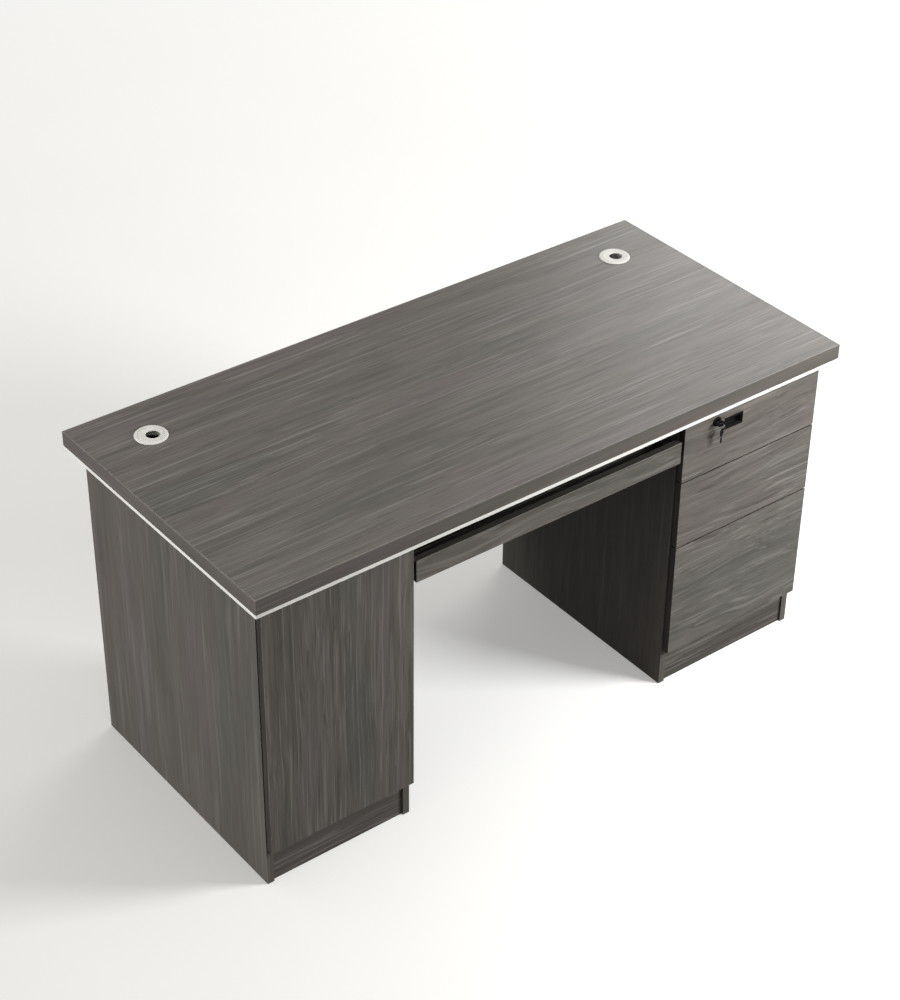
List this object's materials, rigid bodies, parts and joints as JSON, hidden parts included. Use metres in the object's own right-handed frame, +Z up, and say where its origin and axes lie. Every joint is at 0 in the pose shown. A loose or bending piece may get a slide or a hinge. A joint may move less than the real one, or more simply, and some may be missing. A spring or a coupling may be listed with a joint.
{
  "type": "writing desk with drawers",
  "caption": "Office writing desk: thick worktop with cable grommets on a cupboard pedestal and a drawer pedestal, with a pull-out keyboard tray between them.",
  "frame": {"origin": "on the floor under the middle of the worktop", "axes": "+X along the worktop to the drawers' side, +Y to the rear, +Z up"},
  "size_m": [1.5, 0.7, 0.763],
  "materials": {
    "woodgrain_long": "dark grey streaky woodgrain laminate, grain along the desk, satin",
    "woodgrain_upright": "dark grey streaky woodgrain laminate, grain upright, satin",
    "board_core": "plain grey melamine board",
    "white_board": "white melamine board",
    "grommet_plastic": "satin light grey moulded plastic",
    "runner_steel": "zinc-plated rolled steel",
    "hardware_steel": "nickel-plated steel",
    "black_plastic": "black moulded plastic"
  },
  "bodies": {
    "frame": {"top_panel": "woodgrain_long", "top_battens": "board_core", "top_edge_bands": "woodgrain_long", "top_backing_board": "white_board", "grommet_sleeve_left": "grommet_plastic", "grommet_sleeve_right": "grommet_plastic", "left_outer_side": "woodgrain_upright", "left_inner_side": "woodgrain_upright", "left_bottom": "woodgrain_long", "left_top": "woodgrain_long", "left_back": "white_board", "left_shelf": "woodgrain_long", "left_plinth": "woodgrain_long", "shelf_pins": "hardware_steel", "hinge_arms": "hardware_steel", "right_outer_side": "woodgrain_upright", "right_inner_side": "woodgrain_upright", "right_bottom": "woodgrain_long", "right_top": "woodgrain_long", "right_back": "white_board", "right_plinth": "woodgrain_long", "modesty_panel": "woodgrain_upright", "cam_fittings": "hardware_steel", "worktop_screws": "hardware_steel", "drawer_runner_outers": "runner_steel", "tray_runner_outers": "runner_steel"},
    "door": {"door": "woodgrain_upright", "hinge_cups": "hardware_steel"},
    "hinge_links": {"hinge_links": "hardware_steel"},
    "drawer_1": {"drawer_1_front": "woodgrain_long", "drawer_1_sides": "board_core", "drawer_1_back": "board_core", "drawer_1_bottom": "white_board", "drawer_1_runner_inners": "runner_steel", "lock_body": "black_plastic", "flush_pull": "black_plastic"},
    "drawer_2": {"drawer_2_front": "woodgrain_long", "drawer_2_sides": "board_core", "drawer_2_back": "board_core", "drawer_2_bottom": "white_board", "drawer_2_runner_inners": "runner_steel"},
    "drawer_3": {"drawer_3_front": "woodgrain_long", "drawer_3_sides": "board_core", "drawer_3_back": "board_core", "drawer_3_bottom": "white_board", "drawer_3_runner_inners": "runner_steel"},
    "drawer_1_mids": {"drawer_1_runner_mids": "runner_steel"},
    "drawer_2_mids": {"drawer_2_runner_mids": "runner_steel"},
    "drawer_3_mids": {"drawer_3_runner_mids": "runner_steel"},
    "tray": {"tray_board": "woodgrain_long", "tray_lip": "woodgrain_long", "tray_runner_inners": "runner_steel"},
    "tray_mids": {"tray_runner_mids": "runner_steel"},
    "lock_and_key": {"lock_plug": "hardware_steel", "lock_cam": "hardware_steel", "key": "black_plastic"},
    "spare_keys": {"key_ring": "hardware_steel", "spare_key": "black_plastic"},
    "grommet_cap_left": {"grommet_cap_left": "grommet_plastic"},
    "grommet_cap_right": {"grommet_cap_right": "grommet_plastic"}
  },
  "joints": [
    {"name": "door_swing", "type": "hinge", "parent": "frame", "child": "door", "pos_m": [-0.72, -0.321, 0.4045], "axis": [0, 0, -1], "range_deg": [0, 95]},
    {"name": "hinge_link_swing", "type": "hinge", "parent": "frame", "child": "hinge_links", "pos_m": [-0.6968, -0.315, 0.4045], "axis": [0, 0, 1], "range_deg": [0, 46]},
    {"name": "drawer_1_slide", "type": "slide", "parent": "frame", "child": "drawer_1", "axis": [0, -1, 0], "range_m": [0, 0.38]},
    {"name": "drawer_1_mids_slide", "type": "slide", "parent": "frame", "child": "drawer_1_mids", "axis": [0, -1, 0], "range_m": [0, 0.19]},
    {"name": "drawer_2_slide", "type": "slide", "parent": "frame", "child": "drawer_2", "axis": [0, -1, 0], "range_m": [0, 0.38]},
    {"name": "drawer_2_mids_slide", "type": "slide", "parent": "frame", "child": "drawer_2_mids", "axis": [0, -1, 0], "range_m": [0, 0.19]},
    {"name": "drawer_3_slide", "type": "slide", "parent": "frame", "child": "drawer_3", "axis": [0, -1, 0], "range_m": [0, 0.38]},
    {"name": "drawer_3_mids_slide", "type": "slide", "parent": "frame", "child": "drawer_3_mids", "axis": [0, -1, 0], "range_m": [0, 0.19]},
    {"name": "tray_slide", "type": "slide", "parent": "frame", "child": "tray", "axis": [0, -1, 0], "range_m": [0, 0.29]},
    {"name": "tray_mids_slide", "type": "slide", "parent": "frame", "child": "tray_mids", "axis": [0, -1, 0], "range_m": [0, 0.145]},
    {"name": "key_turn", "type": "hinge", "parent": "drawer_1", "child": "lock_and_key", "pos_m": [0.424, -0.3245, 0.678], "axis": [0, 1, 0], "range_deg": [0, 90]},
    {"name": "key_ring_swing", "type": "hinge", "parent": "lock_and_key", "child": "spare_keys", "pos_m": [0.424, -0.3352, 0.678], "axis": [0, 1, 0], "range_deg": [-15, 15]},
    {"name": "grommet_cap_left_turn", "type": "hinge", "parent": "frame", "child": "grommet_cap_left", "pos_m": [-0.614, 0.23, 0.76], "axis": [0, 0, 1], "continuous": true},
    {"name": "grommet_cap_right_turn", "type": "hinge", "parent": "frame", "child": "grommet_cap_right", "pos_m": [0.614, 0.23, 0.76], "axis": [0, 0, 1], "continuous": true}
  ],
  "couplings": [
    {"joint": "hinge_link_swing", "follows": "door_swing", "ratio": 0.4842},
    {"joint": "drawer_1_mids_slide", "follows": "drawer_1_slide", "ratio": 0.5},
    {"joint": "drawer_2_mids_slide", "follows": "drawer_2_slide", "ratio": 0.5},
    {"joint": "drawer_3_mids_slide", "follows": "drawer_3_slide", "ratio": 0.5},
    {"joint": "tray_mids_slide", "follows": "tray_slide", "ratio": 0.5}
  ]
}
